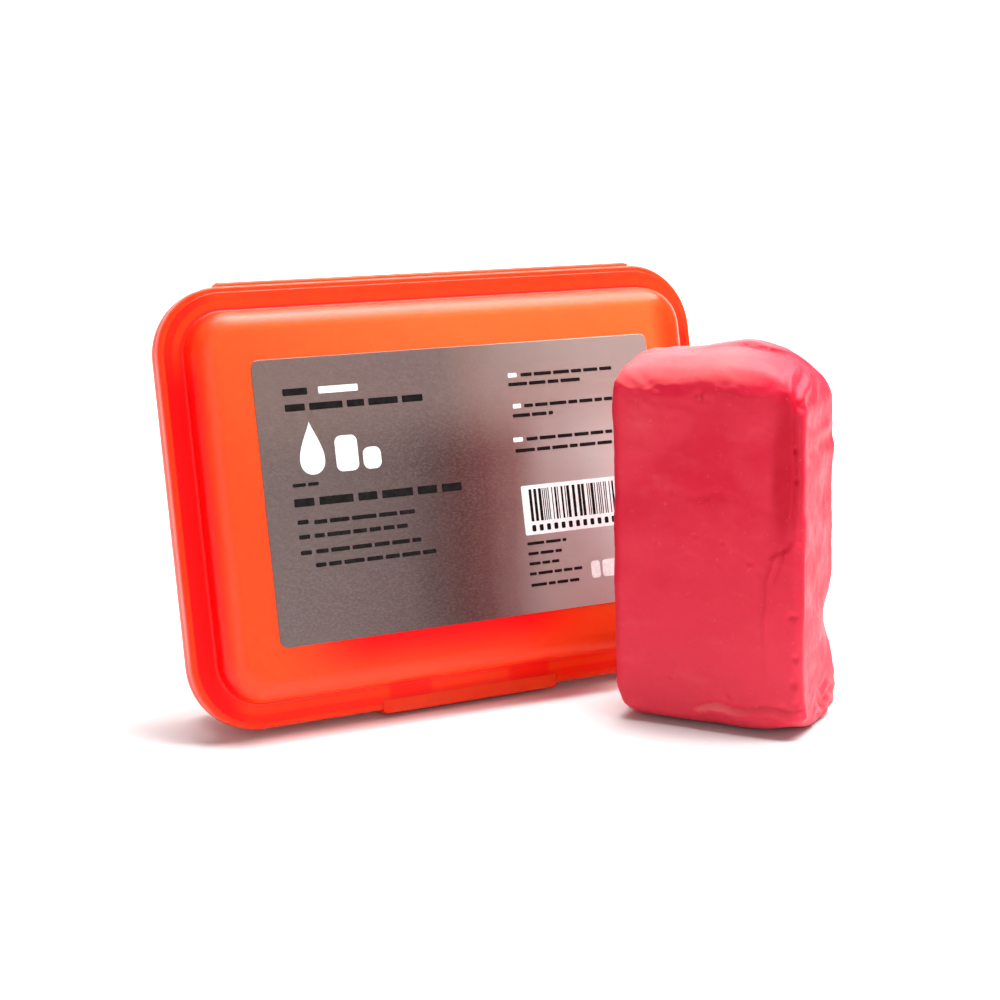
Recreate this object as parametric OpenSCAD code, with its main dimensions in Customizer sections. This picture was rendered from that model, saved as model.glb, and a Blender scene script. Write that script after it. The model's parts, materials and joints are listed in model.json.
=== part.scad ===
// Clay bar for car detailing, standing in front of its own hinged storage case.
// The case stands closed on the lip of its latch tongue and leans back a little.
// Case frame: x along its width, y from latch edge to hinge, z out of its lid, z = 0 at the parting plane.
// Origin: the middle of the clay bar's flat foot, with +Z up and the lid facing -Y.

/* [Case] */
// Overall width of the case, along the hinge
case_w = 147; // [110:1:200]
// Overall height of the case, from latch edge to hinge edge
case_h = 104.6; // [80:0.1:160]
// Radius of the case's four corners, at the edge of the rim
corner_r = 16.5; // [14.5:0.5:24]
// Thickness of the moulded walls
wall = 1.4; // [1:0.1:2]
// Rounding of the outer edges of both rims
rim_edge_r = 0.7; // [0.3:0.1:1.1]
// Fillet between each rim and its wall
fillet_r = 0.8; // [0.4:0.1:1.2]

/* [Lid] */
// Thickness of the lid's flat rim
lid_rim = 2.6; // [2:0.1:4]
// Height of the lid's face above its rim
lid_rise = 8.1; // [7:0.1:20]
// Distance from the rim's outer edge to the walls of both halves
rim_w = 6.3; // [5.6:0.1:7]
// Radius of the round shoulder between the lid's wall and its face
lid_shoulder_r = 5.5; // [3:0.1:6.5]

/* [Tray] */
// Thickness of the tray's flat rim
tray_rim = 2.6; // [2:0.1:4]
// Depth of the tray, from the parting plane to its back
tray_depth = 21.5; // [18:0.5:30]
// Radius of the round shoulder between the tray's wall and its back
tray_shoulder_r = 5.5; // [3:0.1:6.5]
// Height of the sealing bead above the tray's rim
bead_h = 1; // [0.6:0.1:1.1]
// Width of the sealing bead
bead_w = 1.6; // [1:0.1:2]
// Distance from the rim's outer edge to the sealing bead
bead_inset = 1.8; // [1.6:0.1:2.2]

/* [Hinge] */
// Length of the film hinge along the top edge
hinge_len = 114; // [60:1:130]
// Radius of the thin rolled film that joins the two halves
film_r = 0.3; // [0.2:0.05:0.4]
// Height of the hinge line above the edge of the rim
hinge_proud = 0.8; // [0.6:0.1:1.2]
// Thickness of the leaf that carries the film on each half
leaf_t = 1.2; // [0.8:0.1:1.8]

/* [Latch] */
// Width of the latch tongue
tongue_w = 48; // [30:1:70]
// Distance of the tongue's middle from the middle of the case
tongue_shift = -2; // [-10:0.5:10]
// Thickness of the tongue's lip
tongue_t = 0.95; // [0.8:0.05:1.3]
// Height of the tongue's root, above the edge of the rim
tongue_root = 1.9; // [1.5:0.1:2.6]
// Reach of the lip behind the tray's rim
tongue_tail = 0.6; // [0.4:0.1:1.2]
// Bevel at the two ends of the lip
tongue_bevel = 0.8; // [0.4:0.1:1.2]
// Width of each catch lug on the tray
lug_w = 11; // [6:1:16]
// Distance between the middles of the two lugs
lug_pitch = 33; // [20:1:45]
// Height of each lug behind the tray's rim
lug_h = 2; // [1:0.1:3]
// Width of the clear edge that each lug leaves below it, on the rim
lug_edge = 0.5; // [0.3:0.1:1]

/* [Label] */
// Width of the label on the lid
label_w = 108.5; // [60:0.5:112]
// Height of the label
label_h = 67.2; // [40:0.1:72]
// Thickness of the label film
label_t = 0.15; // [0.1:0.05:0.3]
// Radius of the label's corners
label_r = 2; // [1:0.5:4]

/* [Clay bar] */
// Width of the clay bar's broad face
clay_w = 45; // [30:0.5:60]
// Thickness of the clay bar
clay_d = 28; // [16:0.5:36]
// Height of the clay bar at its upper corners, as it stands on its end
clay_h = 85.5; // [50:0.5:110]
// Rise of its top between those corners
clay_crown = 4; // [0:0.5:6]
// Rounding of its long edges and of its top
clay_r = 5; // [3:0.5:8]
// Chamfer around its foot
clay_foot_c = 2; // [1:0.5:2.5]

/* [Fits] */
// Clearance on each side of the sealing bead in its groove
bead_fit = 0.3; // [0.3:0.05:0.4]
// Clearance above the sealing bead
bead_top_fit = 0.1; // [0.05:0.05:0.2]
// Clearance between the tongue and the parts beside it
tongue_fit = 0.3; // [0.2:0.05:0.4]
// Clearance between the tongue's lip and the edge of the tray's rim
lip_fit = 0.15; // [0.1:0.05:0.3]
// Clearance between the hinge film and the leaves on either side of it
film_fit = 0.05; // [0.05:0.01:0.1]

/* [Placement] */
// Angle by which the case leans back
lean = 12.9; // [8:0.1:18]
// Turn of the clay bar about its upright, against the case
clay_turn = -52.5; // [-90:0.5:0]
// Distance of the clay bar's middle to the right of the case's middle
clay_side = 48; // [0:1:70]
// Least distance between the clay bar's corner and the lid, front to back
clay_gap = 3.3; // [2:0.1:40]

/* [Hidden] */

$fn = 96;
case_red = [1, 0.3, 0.12, 0.8];

// Outer height of the lid above the parting plane
lid_h = lid_rim + lid_rise;
// Distance from a corner's centre to the outside of the walls there
wall_x = corner_r - rim_w;
// Overlap of the face plates with the shoulders around them
seam = 1;
// Height of the hinge line in the case frame
hinge_y = case_h / 2 + hinge_proud;
// Underside of the tongue's lip in the case frame, and its inner face just below the rims
lip_y = -case_h / 2 - lip_fit;
foot_y = lip_y - tongue_t;
tail_z = -tray_rim - tongue_tail;
// Thickness of the tongue's upright part, up to its root
tongue_front_t = lid_rim / 2;

// How far the lid reaches forward of the middle of the parting plane, at its lower shoulder
lid_reach = (case_h / 2 - rim_w - lid_shoulder_r) * sin(lean)
    + (lid_h - lid_shoulder_r) * cos(lean) + lid_shoulder_r;
// How far the turned clay bar reaches back from its middle
clay_reach = clay_w / 2 * abs(sin(clay_turn)) + clay_d / 2 * abs(cos(clay_turn));
// Place of the middle of the parting plane. The rear corner of the tongue's lip is on the table.
case_x = -clay_side;
case_y = clay_reach + clay_gap + lid_reach;
case_z = -foot_y * cos(lean) - tail_z * sin(lean);

// Puts a piece that is drawn in the case frame into its place on the table.
module in_case()
    translate([case_x, case_y, case_z]) rotate([90 - lean, 0, 0]) children();

// Sweeps a section around a rounded rectangle. The section's x is measured from the corners' centres.
module around(w, h, r)
    for (side = [0:3])
        rotate(side * 90)
            let (reach = side % 2 == 0 ? [w / 2 - r, h / 2 - r] : [h / 2 - r, w / 2 - r])
                translate([reach.x, reach.y, 0]) {
                    rotate_extrude(angle = 90) children();
                    rotate([90, 0, 0]) linear_extrude(2 * reach.y) children();
                }

// A flat plate with four round corners.
module plate(w, h, r, t)
    linear_extrude(t) {
        square([w - 2 * r, h], center = true);
        square([w, h - 2 * r], center = true);
        for (x = [-1, 1], y = [-1, 1])
            translate([x * (w / 2 - r), y * (h / 2 - r)]) circle(r);
    }

// Section of one half of the case: a flat rim, an upright wall, a round shoulder and the edge of its face.
module half_section(height, rim, shoulder_r) {
    shoulder = [wall_x - shoulder_r, height - shoulder_r];
    translate([wall_x - wall, 0]) square([rim_w + wall - rim_edge_r, rim]);
    translate([wall_x, 0]) square([rim_w, rim - rim_edge_r]);
    translate([corner_r - rim_edge_r, rim - rim_edge_r]) circle(rim_edge_r);
    translate([wall_x - wall, 0]) square([wall, shoulder.y]);
    translate([wall_x, rim]) difference() {
        square(fillet_r);
        translate([fillet_r, fillet_r]) circle(fillet_r);
    }
    translate(shoulder) intersection() {
        difference() {
            circle(shoulder_r);
            circle(shoulder_r - wall);
        }
        square(shoulder_r);
    }
    translate([shoulder.x - seam, height - wall]) square([seam, wall]);
}

// The face that closes one half of the case.
module half_face(height, shoulder_r)
    translate([0, 0, height - wall])
        plate(case_w - 2 * (rim_w + shoulder_r), case_h - 2 * (rim_w + shoulder_r), wall_x - shoulder_r, wall);

// Lid: grooved for the sealing bead, and cut back at its latch edge, where the tongue hangs.
module lid_shell()
    color(case_red) in_case() {
        difference() {
            around(case_w, case_h, corner_r)
                difference() {
                    half_section(lid_h, lid_rim, lid_shoulder_r);
                    translate([corner_r - bead_inset - bead_w - bead_fit, 0])
                        square([bead_w + 2 * bead_fit, bead_h + bead_top_fit]);
                }
            translate([tongue_shift, -case_h / 2, lid_rim / 2])
                cube([tongue_w + 2 * tongue_fit, 2 * (tongue_root + tongue_fit), 2 * lid_rim], center = true);
        }
        half_face(lid_h, lid_shoulder_r);
    }

// Leaf of the hinge, along the top edge of one half. The film lies in its open corner.
module hinge_leaf()
    translate([-hinge_len / 2, case_h / 2, film_r + film_fit])
        cube([hinge_len, hinge_proud - film_fit, leaf_t]);

module lid_hinge_leaf()
    color(case_red) in_case() hinge_leaf();

module tray_hinge_leaf()
    color(case_red) in_case() mirror([0, 0, 1]) hinge_leaf();

// The thin film that joins the two leaves and bends when the case opens.
module hinge_film()
    color(case_red) in_case()
        translate([-hinge_len / 2, hinge_y, 0]) rotate([0, 90, 0]) cylinder(r = film_r, h = hinge_len);

// Tray: the deeper half behind the parting plane.
module tray_shell()
    color(case_red) in_case()
        mirror([0, 0, 1]) {
            around(case_w, case_h, corner_r) half_section(tray_depth, tray_rim, tray_shoulder_r);
            half_face(tray_depth, tray_shoulder_r);
        }

// Bead around the tray's rim that locates the lid and seals it.
module seal_bead()
    color(case_red) in_case()
        around(case_w, case_h, corner_r)
            translate([corner_r - bead_inset - bead_w, 0]) square([bead_w, bead_h]);

// Two lugs behind the tray's rim that back it where the tongue's lip closes on it.
module catch_lugs()
    color(case_red) in_case()
        for (side = [-1, 1])
            translate([tongue_shift + side * lug_pitch / 2 - lug_w / 2, -case_h / 2 + lug_edge, -tray_rim - lug_h])
                cube([lug_w, rim_w - fillet_r - lug_edge, lug_h]);

// Tongue: hangs from the lid's rim, and its lip passes under both rims to a tail behind them.
module latch_tongue() {
    root_y = -case_h / 2 + tongue_root;
    color(case_red) in_case()
        translate([tongue_shift, 0, 0])
            intersection() {
                rotate([0, 90, 0]) linear_extrude(tongue_w, center = true)
                    polygon([[-lid_rim, foot_y], [-tail_z, foot_y], [-tail_z, lip_y],
                             [-tongue_front_t, lip_y], [-tongue_front_t, root_y], [-lid_rim, root_y]]);
                translate([0, 0, tail_z]) linear_extrude(lid_rim - tail_z)
                    polygon([[-tongue_w / 2, root_y], [-tongue_w / 2, foot_y + tongue_bevel],
                             [-tongue_w / 2 + tongue_bevel, foot_y], [tongue_w / 2 - tongue_bevel, foot_y],
                             [tongue_w / 2, foot_y + tongue_bevel], [tongue_w / 2, root_y]]);
            }
}

// Label: a thin film on the flat of the lid.
module label()
    color([0.62, 0.58, 0.57]) in_case()
        translate([0, 0, lid_h]) plate(label_w, label_h, label_r, label_t);

// Clay bar: a soft block with rounded edges, a crowned top and a flat foot.
module clay_bar()
    color([0.89, 0.24, 0.33]) rotate(clay_turn)
        hull()
            for (x = [-1:0.5:1], y = [-1, 1])
                translate([x * (clay_w / 2 - clay_r), y * (clay_d / 2 - clay_r), 0]) {
                    cylinder(r1 = clay_r - clay_foot_c, r2 = clay_r, h = clay_foot_c, $fn = 32);
                    translate([0, 0, clay_h - clay_r + clay_crown * (1 - x * x)]) sphere(clay_r, $fn = 32);
                }

lid_shell();
lid_hinge_leaf();
label();
latch_tongue();
hinge_film();
tray_shell();
seal_bead();
tray_hinge_leaf();
catch_lugs();
clay_bar();
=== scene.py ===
import json
import math
import random

import bmesh
import bpy
import numpy as np
from mathutils import Matrix, Vector, noise


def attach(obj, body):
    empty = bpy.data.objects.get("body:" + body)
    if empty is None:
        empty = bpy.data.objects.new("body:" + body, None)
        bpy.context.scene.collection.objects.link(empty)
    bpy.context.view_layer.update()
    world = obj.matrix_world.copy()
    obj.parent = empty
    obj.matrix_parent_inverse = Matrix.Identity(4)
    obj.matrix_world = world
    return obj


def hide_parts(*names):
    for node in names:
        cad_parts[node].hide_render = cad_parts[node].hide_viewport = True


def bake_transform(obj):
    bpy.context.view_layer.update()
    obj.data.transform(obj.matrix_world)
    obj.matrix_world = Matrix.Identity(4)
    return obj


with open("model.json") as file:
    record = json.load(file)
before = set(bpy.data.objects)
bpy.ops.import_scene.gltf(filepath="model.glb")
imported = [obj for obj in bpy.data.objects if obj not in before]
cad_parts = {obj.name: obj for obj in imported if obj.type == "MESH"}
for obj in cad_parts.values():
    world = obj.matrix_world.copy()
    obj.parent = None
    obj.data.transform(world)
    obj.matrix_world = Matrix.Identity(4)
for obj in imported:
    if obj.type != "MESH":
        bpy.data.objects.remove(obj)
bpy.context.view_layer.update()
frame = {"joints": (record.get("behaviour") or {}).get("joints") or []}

# ---------------------------------------------------------------- named sizes, in millimetres
MM = 0.001
LEAN = math.radians(12.9)
CASE_W, CASE_H, CORNER_R = 147.0, 104.6, 16.5
WALL, RIM_W, RIM_EDGE_R, FILLET_R = 1.4, 6.3, 0.7, 0.8
LID_RIM, LID_H, LID_SHOULDER_R = 2.6, 10.7, 5.5
TRAY_RIM, TRAY_H, TRAY_SHOULDER_R = 2.6, 21.5, 5.5
BEAD_H, BEAD_W, BEAD_INSET, BEAD_FIT, BEAD_TOP_FIT = 1.0, 1.6, 1.8, 0.3, 0.1
HINGE_LEN, HINGE_Y, LEAF_T, FILM_R, FILM_FIT = 114.0, 53.1, 1.2, 0.3, 0.05
TONGUE_W, TONGUE_SHIFT, TONGUE_T, TONGUE_ROOT = 48.0, -2.0, 0.95, 1.9
TONGUE_TAIL, TONGUE_BEVEL, TONGUE_FIT, LIP_FIT = 0.6, 0.8, 0.3, 0.15
LUG_W, LUG_PITCH, LUG_H, LUG_EDGE = 11.0, 33.0, 2.0, 0.5
LABEL_W, LABEL_H, LABEL_T, LABEL_R = 108.5, 67.2, 0.15, 2.0
CLAY_W, CLAY_D, CLAY_H = 45.0, 28.0, 85.5
CLAY_TOP_R, CLAY_FOOT_R, CLAY_EDGE_R = 8.5, 3.2, 2.8
CLAY_TURN = math.radians(-52.5)
STEP_INSET, STEP_H = 1.45, 0.1
# small roundings, thin pieces and how deep a piece is seated in the one that carries it
EDGE, LEAF_EDGE_R, LUG_EDGE_R, BEAD_EDGE_R, TONGUE_EDGE_R, TONGUE_NOSE_R = 0.15, 0.2, 0.25, 0.35, 0.35, 0.5
FILM_REACH, FILM_T, LABEL_EDGE, PRINT_T, PRINT_SINK, SEAT = 0.75, 0.14, 0.05, 0.03, 0.01, 0.02
CLAY_STEP = 0.5

# each light's place, target and size in metres and its power in watts
KEY_LIGHT = ((0.50, -0.08, 1.15), (-0.03, 0.03, 0.05), 0.95, 35.5)
FILL_LIGHT = ((-0.9, -1.2, 0.45), (0.0, 0.0, 0.05), 0.9, 5.5)
BACKDROP_LIGHT = ((0.0, 0.5, 1.9), (0.0, 1.25, 0.5), 1.2, 60.0)
WORLD_STRENGTH, FLOOR_TONE = 0.25, 0.72
# the floor, in metres
FLOOR_BEND, FLOOR_BACK, FLOOR_FRONT, FLOOR_TOP, FLOOR_HALF_W = 0.6, 1.3, -2.5, 2.2, 3.0
# the camera: lens, sensor, distance and the shift of its aim in millimetres
CAMERA_TURN, CAMERA_PITCH = math.radians(-28.65), math.radians(11.65)
CAMERA_LENS, CAMERA_SENSOR, CAMERA_FAR = 73.8, 36.0, 508.2
AIM_RIGHT, AIM_DOWN = 10.61, 3.72


def case_matrix():
    """The case frame: x along the width, y up the face, z out of the lid, zero at the parting plane."""
    hinge = next(j for j in frame["joints"] if j["name"] == "case_hinge")
    ex = Vector((1, 0, 0))
    ey = Vector((0, math.sin(LEAN), math.cos(LEAN)))
    ez = Vector((0, -math.cos(LEAN), math.sin(LEAN)))
    origin = Vector(hinge["pos_m"]) - ey * HINGE_Y * MM
    return Matrix.Translation(origin) @ Matrix((ex, ey, ez)).transposed().to_4x4()


CASE = case_matrix()
CLAY = Matrix.Rotation(CLAY_TURN, 4, "Z")


# ---------------------------------------------------------------- meshes
def make_object(name, verts, faces, matrix, attributes=None, smooth_angle=35):
    """An object from points in millimetres, with clean normals and edges kept sharp past the angle."""
    mesh = bpy.data.meshes.new(name)
    mesh.from_pydata([tuple(c * MM for c in v) for v in verts], [], faces)
    for key, values in (attributes or {}).items():
        layer = mesh.attributes.new(key, "FLOAT", "POINT")
        layer.data.foreach_set("value", np.asarray(values, np.float32))
    bm = bmesh.new()
    bm.from_mesh(mesh)
    bmesh.ops.remove_doubles(bm, verts=bm.verts, dist=1e-7)
    bmesh.ops.dissolve_degenerate(bm, dist=1e-8, edges=bm.edges)
    bmesh.ops.recalc_face_normals(bm, faces=bm.faces)
    limit = math.radians(smooth_angle)
    for f in bm.faces:
        f.smooth = True
    for e in bm.edges:
        e.smooth = not (len(e.link_faces) == 2 and e.calc_face_angle(0) > limit)
    bm.to_mesh(mesh)
    bm.free()
    obj = bpy.data.objects.new(name, mesh)
    bpy.context.scene.collection.objects.link(obj)
    obj.matrix_world = matrix
    return obj


def finish_piece(obj, body, material, slot, *nodes):
    """Gives a piece its material and its CAD body, and hides the CAD nodes that it stands for."""
    obj.data.materials.append(material)
    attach(obj, body)
    if nodes:
        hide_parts(*nodes)
    return obj


def stations(w, h, r, arc_steps=20, side_steps=10, cuts=()):
    """Stations round a rounded rectangle: (centre x, centre y, normal x, normal y, notched)."""
    out = []
    corners = [(1, -1, -90), (1, 1, 0), (-1, 1, 90), (-1, -1, 180)]
    for k, (sx, sy, start) in enumerate(corners):
        cx, cy = sx * (w / 2 - r), sy * (h / 2 - r)
        for i in range(arc_steps + 1):
            a = math.radians(start + 90 * i / arc_steps)
            out.append((cx, cy, math.cos(a), math.sin(a), False))
        next_x, next_y = corners[(k + 1) % 4][:2]
        tx, ty = next_x * (w / 2 - r), next_y * (h / 2 - r)
        a = math.radians(start + 90)
        normal = (math.cos(a), math.sin(a))
        if cuts and k == 3:
            x0, x1 = cuts
            spots = [(x, False) for x in np.linspace(cx, x0, side_steps)[1:]]
            spots += [(x, True) for x in np.linspace(x0, x1, side_steps)]
            spots += [(x, False) for x in np.linspace(x1, tx, side_steps)[:-1]]
            out += [(x, cy, normal[0], normal[1], cut) for x, cut in spots]
        else:
            for i in range(1, side_steps):
                t = i / side_steps
                out.append((cx + (tx - cx) * t, cy + (ty - cy) * t, normal[0], normal[1], False))
    return out


def arc(cx, cy, r, a0, a1, steps):
    """Points of an arc, angles in degrees."""
    return [
        (cx + r * math.cos(math.radians(a0 + (a1 - a0) * i / steps)),
         cy + r * math.sin(math.radians(a0 + (a1 - a0) * i / steps)))
        for i in range(steps + 1)
    ]


def half_profile(height, rim, shoulder_r, groove):
    """Section of one half as (inset from the rim's edge, height), from the face's edge out and back in."""
    top = height - shoulder_r
    face_in = RIM_W + shoulder_r
    pts = arc(face_in, top, shoulder_r, 90, 180, 14)
    pts += [(RIM_W, top - (top - rim - FILLET_R) / 2)]
    pts += arc(RIM_W - FILLET_R, rim + FILLET_R, FILLET_R, 0, -90, 6)
    pts += [(4.2, rim), (2.6, rim), (STEP_INSET + 0.12, rim)]
    pts += [(STEP_INSET, rim - STEP_H), (1.1, rim - STEP_H)]
    pts += arc(RIM_EDGE_R, rim - STEP_H - RIM_EDGE_R, RIM_EDGE_R, 90, 180, 8)
    pts += arc(EDGE, EDGE, EDGE, 180, 270, 3)
    if groove:
        g0, g1 = BEAD_INSET - BEAD_FIT, BEAD_INSET + BEAD_W + BEAD_FIT
        depth = BEAD_H + BEAD_TOP_FIT
        pts += [(g0 - EDGE, 0), (g0, EDGE), (g0, depth - EDGE), (g0 + EDGE, depth)]
        pts += [(g1 - EDGE, depth), (g1, depth - EDGE), (g1, EDGE), (g1 + EDGE, 0)]
    inner = RIM_W + WALL
    pts += [(inner - EDGE, 0), (inner, EDGE)]
    pts += arc(face_in, top, shoulder_r - WALL, 180, 90, 10)
    return pts


def swept_half(name, height, rim, shoulder_r, sign, groove=False, notch=None):
    """One half of the case: its section swept round the rounded rectangle and closed by its two faces."""
    profile = half_profile(height, rim, shoulder_r, groove)
    ring = stations(CASE_W, CASE_H, CORNER_R, cuts=notch or ())
    notch_in = TONGUE_ROOT + TONGUE_FIT
    floor = BEAD_H + BEAD_TOP_FIT
    verts, inset = [], []
    for cx, cy, nx, ny, cut in ring:
        for d, z in profile:
            if cut and d < notch_in:
                d, z = notch_in, max(z, floor)
            x = CORNER_R - d
            verts.append((cx + nx * x, cy + ny * x, sign * z))
            inset.append(d)
    m, n = len(ring), len(profile)
    faces = []
    for i in range(m):
        k = (i + 1) % m
        for j in range(n - 1):
            faces.append((i * n + j, k * n + j, k * n + j + 1, i * n + j + 1))
    faces.append(tuple(i * n for i in range(m)))
    faces.append(tuple(i * n + n - 1 for i in reversed(range(m))))
    return make_object(name, verts, faces, CASE, {"inset": inset})


def swept_bead(name):
    """The sealing bead round the tray's rim, with rounded upper edges."""
    d0, d1 = BEAD_INSET, BEAD_INSET + BEAD_W
    r = BEAD_EDGE_R
    profile = [(d0, -SEAT)] + arc(d0 + r, BEAD_H - r, r, 180, 90, 5)
    profile += arc(d1 - r, BEAD_H - r, r, 90, 0, 5) + [(d1, -SEAT)]
    ring = stations(CASE_W, CASE_H, CORNER_R)
    verts = [(cx + nx * (CORNER_R - d), cy + ny * (CORNER_R - d), z)
             for cx, cy, nx, ny, _ in ring for d, z in profile]
    inset = [d for _ in ring for d, _ in profile]
    m, n = len(ring), len(profile)
    faces = [
        (i * n + j, ((i + 1) % m) * n + j, ((i + 1) % m) * n + (j + 1) % n, i * n + (j + 1) % n)
        for i in range(m) for j in range(n)
    ]
    return make_object(name, verts, faces, CASE, {"inset": inset})


def capped_tube(sections, n):
    """Faces of a closed tube whose sections have n points each, with both ends capped."""
    faces = [(i * n + j, i * n + (j + 1) % n, (i + 1) * n + (j + 1) % n, (i + 1) * n + j)
             for i in range(sections - 1) for j in range(n)]
    return faces + [tuple(range(n)), tuple(reversed(range((sections - 1) * n, sections * n)))]


def soft_box(low, high, r, steps=3):
    """Points and faces of a box with rounded edges, made from a rounded section along x."""
    (x0, y0, z0), (x1, y1, z1) = low, high
    turns = [math.radians(90 * i / steps) for i in range(steps + 1)]
    spots = [(r * (1 - math.cos(a)), r * (1 - math.sin(a))) for a in turns]
    columns = [(x0 + a, b) for a, b in spots] + [(x1 - a, b) for a, b in reversed(spots)]
    corners = ((y1 - r, z1 - r, 0), (y0 + r, z1 - r, 90), (y0 + r, z0 + r, 180), (y1 - r, z0 + r, 270))
    verts = []
    for x, shrink in columns:
        for cx, cz, a0 in corners:
            verts += [(x, y, z) for y, z in arc(cx, cz, max(r - shrink, 1e-4), a0, a0 + 90, steps)]
    return verts, capped_tube(len(columns), len(verts) // len(columns))


def joined(parts):
    """Several (points, faces) pairs as one."""
    verts, faces = [], []
    for v, f in parts:
        base = len(verts)
        verts += v
        faces += [tuple(base + i for i in face) for face in f]
    return verts, faces


def rounded_outline(x0, y0, x1, y1, r, steps=5):
    """Outline of a rounded rectangle, anticlockwise."""
    out = []
    corners = ((x1 - r, y0 + r, -90), (x1 - r, y1 - r, 0), (x0 + r, y1 - r, 90), (x0 + r, y0 + r, 180))
    for cx, cy, a0 in corners:
        out += arc(cx, cy, r, a0, a0 + 90, steps)
    return out


def prism(outline, z0, z1):
    """Points and faces of an outline given a thickness."""
    n = len(outline)
    verts = [(x, y, z0) for x, y in outline] + [(x, y, z1) for x, y in outline]
    faces = [tuple(reversed(range(n))), tuple(range(n, 2 * n))]
    faces += [(i, (i + 1) % n, n + (i + 1) % n, n + i) for i in range(n)]
    return verts, faces


# ---------------------------------------------------------------- material tools
def new_material(name):
    """A new material, its node tree and its shader."""
    mat = bpy.data.materials.new(name)
    mat.use_nodes = True
    return mat, mat.node_tree, mat.node_tree.nodes["Principled BSDF"]


def add(tree, kind, inputs=(), **settings):
    """A node with its inputs linked or set."""
    node = tree.nodes.new(kind)
    for key, value in settings.items():
        setattr(node, key, value)
    for key, value in dict(inputs).items():
        if isinstance(value, bpy.types.NodeSocket):
            tree.links.new(value, node.inputs[key])
        else:
            node.inputs[key].default_value = value
    return node


def calc(tree, operation, a, b=0.0, clamp=False):
    """One calculation with two values."""
    return add(tree, "ShaderNodeMath", {0: a, 1: b}, operation=operation, use_clamp=clamp).outputs[0]


def product(tree, first, *others):
    """Several values multiplied together."""
    for other in others:
        first = calc(tree, "MULTIPLY", first, other)
    return first


def plus(tree, value, other, factor):
    """A value plus a share of another."""
    return calc(tree, "ADD", value, calc(tree, "MULTIPLY", other, factor))


def millimetres(tree, coords):
    """The object coordinates x, y and z in millimetres."""
    axes = add(tree, "ShaderNodeSeparateXYZ", {0: coords})
    return [calc(tree, "DIVIDE", axes.outputs[i], MM) for i in range(3)]


def span(tree, value, low, high, to_low=0.0, to_high=1.0):
    """Smooth step of a value between two limits."""
    node = add(tree, "ShaderNodeMapRange", interpolation_type="SMOOTHSTEP")
    tree.links.new(value, node.inputs["Value"])
    for key, v in zip(("From Min", "From Max", "To Min", "To Max"), (low, high, to_low, to_high)):
        node.inputs[key].default_value = v
    return node.outputs["Result"]


def noise_at(tree, vector, scale, detail=3.0, roughness=0.5, distortion=0.0):
    """Noise, from 0 to 1."""
    inputs = {"Vector": vector, "Scale": scale, "Detail": detail, "Roughness": roughness,
              "Distortion": distortion}
    return add(tree, "ShaderNodeTexNoise", inputs).outputs["Fac"]


def blend_colour(tree, factor, a, b):
    """A mix of two colours, each a colour or a socket."""
    node = tree.nodes.new("ShaderNodeMix")
    node.data_type = "RGBA"
    for key, value in ((0, factor), (6, a), (7, b)):
        if isinstance(value, bpy.types.NodeSocket):
            tree.links.new(value, node.inputs[key])
        else:
            node.inputs[key].default_value = value if key == 0 else (*value, 1)
    return node.outputs[2]


def bump_on(tree, height, strength, distance_mm, normal=None):
    """A bumped normal, on top of another if one is given."""
    inputs = {"Height": height, "Strength": strength, "Distance": distance_mm * MM}
    node = add(tree, "ShaderNodeBump", inputs)
    if normal is not None:
        tree.links.new(normal, node.inputs["Normal"])
    return node.outputs["Normal"]


def ramp_of(tree, value, stops):
    """A colour ramp; stops are (position, colour)."""
    node = add(tree, "ShaderNodeValToRGB", {"Fac": value})
    ramp = node.color_ramp
    ramp.elements[0].position, ramp.elements[0].color = stops[0][0], (*stops[0][1], 1)
    ramp.elements[1].position, ramp.elements[1].color = stops[-1][0], (*stops[-1][1], 1)
    for position, colour in stops[1:-1]:
        ramp.elements.new(position).color = (*colour, 1)
    return node.outputs["Color"]


# ---------------------------------------------------------------- materials
FACE_ORANGE = (0.98, 0.058, 0.009)
FACE_PAINTED_LIT = (1.0, 0.145, 0.028)
RIM_ORANGE = (0.98, 0.040, 0.004)
RIM_RED = (0.95, 0.012, 0.001)
DEEP_RED = (0.95, 0.0, 0.001)
EDGE_PAINTED_HIGHLIGHT = (1.0, 0.13, 0.06)
CLAY_DARK = (0.46, 0.001, 0.016)
CLAY_DEEP = (0.54, 0.005, 0.029)
CLAY_MID = (0.64, 0.030, 0.058)
CLAY_PALE = (0.88, 0.20, 0.19)


def case_base(name):
    """Translucent polypropylene: scattering, with a lightly frosted skin. Also returns its slow variation."""
    mat, tree, bsdf = new_material(name)
    coords = add(tree, "ShaderNodeTexCoord").outputs["Object"]
    for key, value in {"Subsurface Weight": 0.6, "Subsurface Radius": (1.0, 0.12, 0.04),
                       "Subsurface Scale": 2.2 * MM, "IOR": 1.49, "Specular IOR Level": 0.24,
                       "Coat Weight": 0.0}.items():
        bsdf.inputs[key].default_value = value
    bsdf.subsurface_method = "RANDOM_WALK"
    frost = noise_at(tree, coords, 5200, 2, 0.6)
    flow = noise_at(tree, coords, 38, 3, 0.5, 0.6)
    rough = span(tree, frost, 0.3, 0.75, 0.30, 0.46)
    tree.links.new(rough, bsdf.inputs["Roughness"])
    fine = bump_on(tree, frost, 0.22, 0.035)
    tree.links.new(bump_on(tree, flow, 0.25, 0.25, fine), bsdf.inputs["Normal"])
    return mat, tree, bsdf, coords, flow


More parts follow.
